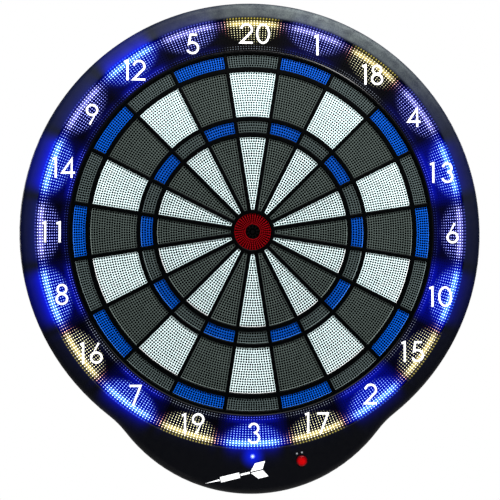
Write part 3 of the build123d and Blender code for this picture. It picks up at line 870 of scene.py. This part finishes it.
def circuit_material():
    """Green solder mask over tracks, with tinned pads."""
    made = Material("circuit_board", roughness=0.4)
    tracks = made.cells(6 * MM, "DISTANCE_TO_EDGE").step(0.05, 0.03)
    mask = made.blend(tracks, *CIRCUIT_GREENS)
    pads = made.cells(2.6 * MM).step(0.16, 0.12)
    made.colour(made.blend(pads, mask, CIRCUIT_PADS))
    made.roughness(tracks * -0.12 + 0.42)
    made.bump(tracks + pads, 0.03 * MM)
    return made.made


def pool_edge(made):
    """How far a point is outside the curved inner edge of its sector's pool of light."""
    off_middle = made.from_sector_middle()
    return made.radius() - (off_middle * off_middle * POOL_EDGE_BOW + POOL_EDGE_R)


def diffuser_material():
    """The white diffuser behind the number ring, lit by the lights along its outer edge."""
    made = Material("diffuser_white", roughness=0.5, base_color=(0.02, 0.02, 0.022, 1.0))
    radius = made.radius()
    off_middle = made.from_sector_middle()
    uneven = made.noise(6 * MM, 2.0) * 2.2 + 0.35
    hot = radius.hump(*HOT_BAND) * (off_middle.step(0.48, 0.30) * 4.2 + 1.0)
    pool = pool_edge(made).step(-2 * MM, 5 * MM) * (off_middle.step(0.47, 0.24) * 1.15 + 0.02) * uneven
    pool = pool * (radius.hump(*POOL_BAND) * 0.5 + 1.0)
    edge = radius.hump(*EDGE_BAND) * (off_middle.step(0.5, 0.3) * 0.7 + 0.3) * uneven
    ends = radius.hump(*END_BAND) + pool_edge(made).step(-4 * MM, 8 * MM) * 0.35
    ends = ends * off_middle.hump(0.43, 0.045)
    lights = ((HOT_DOTS, hot), (POOL_DOTS, pool), (EDGE_DOTS, edge), (END_DOTS, ends))
    made.emit(made.total(*(made.glow(made.sector_colour(colours), share) for colours, share in lights)))
    made.bump(made.noise(1 * MM), 0.02 * MM)
    return made.made


def ring_material():
    """The black number ring, with a little painted glow where the light behind it is strong."""
    made = Material("number_ring_black", roughness=0.4, specular_ior_level=0.025)
    made.colour(made.blend(made.noise(9 * MM, 3.0), *RING_BLACKS))
    radius = made.radius()
    off_middle = made.from_sector_middle()
    # Painted glow on the ring: pools and bands of the lights' colours, and a faint haze, stronger to the
    # right.
    pool = pool_edge(made).step(-6 * MM, 6 * MM) * (off_middle.step(0.56, 0.25) * 0.95 + 0.05)
    edge = radius.hump(*EDGE_RING_GLOW_BAND) * (off_middle.step(0.5, 0.25) * 0.6 + 0.1)
    beside = radius.hump(*BESIDE_RING_GLOW_BAND) * 0.8
    hot = radius.hump(*HOT_RING_GLOW_BAND) * off_middle.step(0.44, 0.26)
    side = made.x.step(-50 * MM, 160 * MM) * 0.9 + 0.35
    lights = ((POOL_RING_GLOW, pool + edge + beside), (HOT_RING_GLOW, hot), (RING_HAZE_GLOW, side))
    made.emit(made.total(*(made.glow(made.sector_colour(colours), share) for colours, share in lights)))
    made.bump(made.noise(0.6 * MM), 0.01 * MM)
    return made.made


def bezel_material():
    """Satin black plastic, with a painted sheen towards the top, and painted glow in the colour of the lights
    beside it.
    """
    made = Material("bezel_black", specular_ior_level=0.08)
    made.colour(dusty_black(made))
    made.roughness(made.noise(6 * MM, 5.0) * 0.24 + 0.36)
    # Painted glow of the status light on the bezel round it.
    away = made.distance(*STATUS_PLACE)
    spot = made.blend(away.step(16 * MM, 1 * MM) * away.step(30 * MM, 0.0), (0.0, 0.0, 0.0), STATUS_GLOW_COLOUR)
    made.emit(made.total(*mouth_glows(made), spot))
    made.bump(made.noise(0.35 * MM, 2.0), 0.006 * MM)
    return made.made


def dusty_black(made):
    """The bezel's black, under a painted sheen that grows towards its top and its right."""
    radius = made.radius()
    # Painted sheen: the black lightens towards the top of the board.
    sheen_rise = made.z.step(*SHEEN_HEIGHTS) * (made.noise(20 * MM, 4.0) * 0.6 + 0.6)
    sheened_black = made.blend(sheen_rise, *BEZEL_BLACKS)
    # Painted sheen, in mottled clouds and specks, on the front band towards the top and the right.
    clouds = made.noise(11 * MM, 4.0).step(0.25, 0.75) * 0.4
    specks = made.noise(1.5 * MM, 3.0).step(0.2, 0.8) * 0.4
    reach = made.z.step(*TOP_SHEEN_HEIGHTS)
    side = made.x.step(*TOP_SHEEN_SIDES) * 1.1 + 0.12
    band = radius.step(*TOP_SHEEN_OUTER_RADII) * radius.step(*TOP_SHEEN_INNER_RADII)
    return made.blend((clouds + specks + 0.1) * reach * reach * side * band, sheened_black, TOP_SHEEN_COLOUR)


def mouth_glows(made):
    """Painted glow round the bezel's mouth, and painted bright teeth of light from the last row of holes on
    its lip.
    """
    off_middle = made.from_sector_middle()
    beyond = made.radius() - BEZEL_MOUTH_R
    fall = made.z.step(-210 * MM, -50 * MM) * 135.0 - 275.0
    decay = (beyond * fall).apply("EXPONENT") * beyond.step(-2 * MM, 0.0)
    decay = decay * (made.x.step(*HALO_SIDES) * 0.8 + 0.25)
    decay = decay * (made.z.step(*HALO_HEIGHTS) * 0.5 + 0.5) * made.y.step(*HALO_DEPTHS)
    halo = made.glow(made.sector_colour(HALO, 0.2), decay * (off_middle.step(0.5, 0.26) * 0.97 + 0.03))
    # Painted teeth of light, one for each column of the ring's holes.
    column = ((made.sectors() * (RING_COLUMNS / SECTORS)).apply("FRACT") - 0.5).apply("ABSOLUTE")
    teeth = column.step(0.32, 0.12) * beyond.step(1.1 * MM, 0.3 * MM) * off_middle.step(0.46, 0.3)
    return halo, made.glow(made.sector_colour(LIP), teeth)


def casing_material():
    """Black plastic with the fine spark-eroded grain of a moulded back."""
    made = Material("casing_black", roughness=0.55)
    made.colour(made.blend(made.noise(30 * MM, 4.0), *CASING_BLACKS))
    made.roughness(made.noise(4 * MM, 3.0) * 0.2 + 0.45)
    made.bump(made.cells(0.9 * MM), 0.06 * MM)
    return made.made


def light_material():
    """The small lights: a white body whose middle glows in the colour of its sector."""
    made = Material("led_lit", roughness=0.3, base_color=(0.8, 0.8, 0.75, 1.0))
    lens = made.cells(3 * MM).step(0.7, 0.2)
    made.emit(made.glow(made.sector_colour(HOT_DOTS), lens * 2.0))
    return made.made


def rubber_material(name, colour):
    """Dull rubber with a coarse grain and paler clouds."""
    made = Material(name, roughness=0.8)
    made.colour(made.blend(made.noise(6 * MM, 5.0), colour, scaled(colour, 1.7)))
    made.roughness(made.noise(2 * MM, 3.0) * 0.2 + 0.68)
    made.bump(made.noise(0.8 * MM, 4.0), 0.05 * MM)
    return made.made


def film_material():
    """Clear polyester with silver tracks printed round and across it."""
    made = Material("membrane_film", roughness=0.25)
    rings = (made.radius() * (1 / (9 * MM))).apply("FRACT").step(0.9, 0.94)
    spokes = (made.sectors() * 2.0).apply("FRACT").step(0.95, 0.97)
    tracks = rings.apply("MAXIMUM", spokes)
    made.colour(made.blend(tracks, *FILM_GREYS))
    made.bump(tracks, 0.02 * MM)
    return made.made


def board_material():
    """Hardboard: brown with short fibres."""
    made = Material("backing_board", roughness=0.75)
    fibres = made.noise(1.2 * MM, 6.0, stretch=(1.0, 1.0, 0.25))
    made.colour(made.blend(fibres.step(0.3, 0.7), *HARDBOARD_BROWNS))
    made.bump(fibres, 0.08 * MM)
    return made.made


def metal_material(name, colour, roughness):
    """Bright metal with fine drawn lines."""
    made = Material(name, metallic=1.0)
    lines = made.noise(0.5 * MM, 4.0, stretch=(1.0, 1.0, 0.08))
    made.colour(made.blend(lines, scaled(colour, 0.75), colour))
    made.roughness(lines * 0.2 + roughness)
    made.bump(lines, 0.01 * MM)
    return made.made


def speaker_material():
    """A black painted basket round a ribbed paper cone."""
    made = Material("speaker_metal", roughness=0.5)
    low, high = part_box("speaker")
    away = made.distance((low.x + high.x) / 2, (low.z + high.z) / 2)
    ribs = (away * (1 / (1.5 * MM))).apply("FRACT")
    cone = away.step(15.6 * MM, 15.2 * MM)
    made.colour(made.blend(cone, *SPEAKER_BLACKS))
    made.bump(ribs * cone + made.noise(1 * MM), 0.1 * MM)
    return made.made


def lens_material():
    """The light pipes: a blue status light with a white core, and dim white marks by the button."""
    made = Material("lens_clear", roughness=0.2, base_color=(0.12, 0.13, 0.15, 1.0), ior=1.49)
    core = made.distance(*STATUS_PLACE).step(1.7 * MM, 0.9 * MM)
    status = made.blend(core, *LENS_BLUES)
    marks = made.x.step(20 * MM, 30 * MM)
    uneven = made.noise(1.2 * MM, 2.0) * 0.3 + 0.85
    made.emit(made.glow(made.blend(marks, status, LENS_MARK), uneven))
    return made.made


def button_material():
    """Red plastic with painted shade, darker towards the rim."""
    made = moulded("button_red", BUTTON_RED, roughness=0.3, depth=0.006 * MM, specular_ior_level=0.12)
    low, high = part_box("start_button")
    away = made.distance((low.x + high.x) / 2, (low.z + high.z) / 2)
    # Painted shade towards the button's rim.
    made.colour(made.blend(away.step(5.7 * MM, 2.2 * MM), BUTTON_RIM_SHADE_RED, made.base))
    return made.made


def print_material():
    """White ink, a little uneven, brightened by a painted glow."""
    made = Material("white_print", roughness=0.45)
    shade = made.noise(2.5 * MM, 4.0).step(0.2, 0.8)
    made.colour(made.blend(shade, *PRINT_WHITES))
    # Painted glow: the print gives off light of its own.
    made.emit(made.blend(shade, *PRINT_PAINTED_GLOWS))
    made.bump(made.noise(0.3 * MM), 0.01 * MM)
    return made.made


def floor_material():
    """A pale, matt floor, a little cloudy."""
    made = Material("floor_pale", roughness=0.7)
    made.colour(made.blend(made.noise(0.6, 3.0), *FLOOR_GREYS))
    return made.made


# The plates' looks are pairs: the plastic, and the walls of its holes in painted shade and light.
plate_looks = {}
for slot, (colour, outer_painted_light, hole_light_low, hole_light_high) in PLATE_COLOURS.items():
    plate_looks[slot] = [plate_material(slot, colour, outer_painted_light),
                         hole_material(slot, colour, hole_light_low, hole_light_high)]
materials = {slot: looks[0] for slot, looks in plate_looks.items()}
materials.update({
    "web_black": moulded("web_black", WEB_BLACK, roughness=0.32, specular_ior_level=0.03).made,
    "number_ring_black": ring_material(),
    "diffuser_white": diffuser_material(),
    "circuit_board": circuit_material(),
    "led_lit": light_material(),
    "mat_rubber": rubber_material("mat_rubber", MAT_BLACK),
    "membrane_film": film_material(),
    "backing_board": board_material(),
    "bezel_black": bezel_material(),
    "casing_black": casing_material(),
    "socket_shell": metal_material("socket_shell", SOCKET_METAL, 0.2),
    "speaker_metal": speaker_material(),
    "screw_steel": metal_material("screw_steel", SCREW_METAL, 0.28),
    "pad_rubber": rubber_material("pad_rubber", PAD_BLACK),
    "lens_clear": lens_material(),
    "button_red": button_material(),
})
rim_gloss = moulded("rim_gloss", RIM_BLACK, roughness=0.2, specular_ior_level=0.35).made
print_white = print_material()

# -------------------- the object

slot_of = {row["node"]: row["material_slot"] for row in frame["record"]["subparts"]}
for node, shown in frame["nodes"].items():
    shown.data.materials.clear()
    shown.data.materials.append(materials[slot_of[node]])

plate_shapes = {
    "inner_single": (plate_shape(INNER_SINGLE, INNER_WIDE), "singles"),
    "outer_single": (plate_shape(OUTER_SINGLE), "singles"),
    "triple": (plate_shape(TRIPLE), "multiples"),
    "double": (plate_shape(DOUBLE), "multiples"),
}
for sector, number in enumerate(NUMBERS):
    for row, ((points, faces, kinds), family) in plate_shapes.items():
        node = f"{family}_{number}"
        slot = slot_of[node]
        made = piece(f"{row}_{number}", node, slot, plate_looks[slot], turned(points, sector * SECTOR),
                     faces, kinds)
        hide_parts(node)

rim = plate_side(OUTER_BULL[0], 1, BULL_RECESS_R, BULL_RECESS_TOP)
edge = plate_side(OUTER_BULL[1], -1, OUTER_BULL[1] + FLANGE_LIP, FLANGE_TOP)
bull = piece("bull_ring", "outer_bull", "bull_red", plate_looks["bull_red"],
             *disc_shape(OUTER_BULL, OUTER_BULL_HOLES, rim, edge))
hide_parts("outer_bull")
edge = plate_side(INNER_BULL[1], -1, BULL_FLANGE_R, BULL_FLANGE_TOP)
bull = piece("bull_centre", "inner_bull", "inner_bull_black", plate_looks["inner_bull_black"],
             *disc_shape(INNER_BULL, INNER_BULL_HOLES, [], edge))
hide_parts("inner_bull")

web = piece("web", "board", "web_black", [materials["web_black"], rim_gloss], *web_shape())
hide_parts("spider")
ring = piece("pierced_number_ring", "board", "number_ring_black", [materials["number_ring_black"]],
             *ring_shape())
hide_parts("number_ring")
for sector, number in enumerate(NUMBERS):
    piece(f"numeral_{number}", "board", "diffuser_white", [print_white],
          *numeral_shape(number, sector * SECTOR))
piece("dart_emblem", "board", "diffuser_white", [print_white], *emblem_shape())

# -------------------- the studio

def add_camera():
    data = bpy.data.cameras.new("camera")
    data.lens = CAMERA_LENS
    data.sensor_width = CAMERA_SENSOR
    camera = new_object("camera", data)
    away = Vector((math.sin(CAMERA_AZIMUTH) * math.cos(CAMERA_ELEVATION),
                   -math.cos(CAMERA_AZIMUTH) * math.cos(CAMERA_ELEVATION), math.sin(CAMERA_ELEVATION)))
    camera.location = Vector(CAMERA_TARGET) + away * CAMERA_DISTANCE
    camera.rotation_euler = (-away).to_track_quat("-Z", "Y").to_euler()
    bpy.context.scene.camera = camera


def add_light(name, spot, target, size, power):
    data = bpy.data.lights.new(name, "AREA")
    data.shape = "RECTANGLE"
    data.size, data.size_y = size
    data.energy = power
    light = new_object(name, data)
    light.location = spot
    light.rotation_euler = (Vector(target) - Vector(spot)).to_track_quat("-Z", "Y").to_euler()


def add_world():
    """A dim sky, which the camera itself sees as plain white."""
    world = bpy.data.worlds.new("studio")
    world.use_nodes = True
    bpy.context.scene.world = world
    nodes, links = world.node_tree.nodes, world.node_tree.links
    sky = nodes["Background"]
    backdrop = nodes.new("ShaderNodeBackground")
    for background, strength in ((sky, SKY_STRENGTH), (backdrop, 1.0)):
        background.inputs["Color"].default_value = (1.0, 1.0, 1.0, 1.0)
        background.inputs["Strength"].default_value = strength
    choose = nodes.new("ShaderNodeMixShader")
    path = nodes.new("ShaderNodeLightPath")
    links.new(path.outputs["Is Camera Ray"], choose.inputs[0])
    links.new(sky.outputs[0], choose.inputs[1])
    links.new(backdrop.outputs[0], choose.inputs[2])
    links.new(choose.outputs[0], nodes["World Output"].inputs[0])


def add_floor():
    mesh = bpy.data.meshes.new("floor")
    work = bmesh.new()
    bmesh.ops.create_circle(work, cap_ends=True, radius=FLOOR_R, segments=FLOOR_SIDES)
    work.to_mesh(mesh)
    work.free()
    mesh.materials.append(floor_material())
    floor = new_object("floor", mesh)
    floor.location = (0, 0, FLOOR_LEVEL)


add_camera()
for light in LIGHTS:
    add_light(*light)
add_world()
add_floor()
bpy.context.scene.view_settings.view_transform = "Standard"
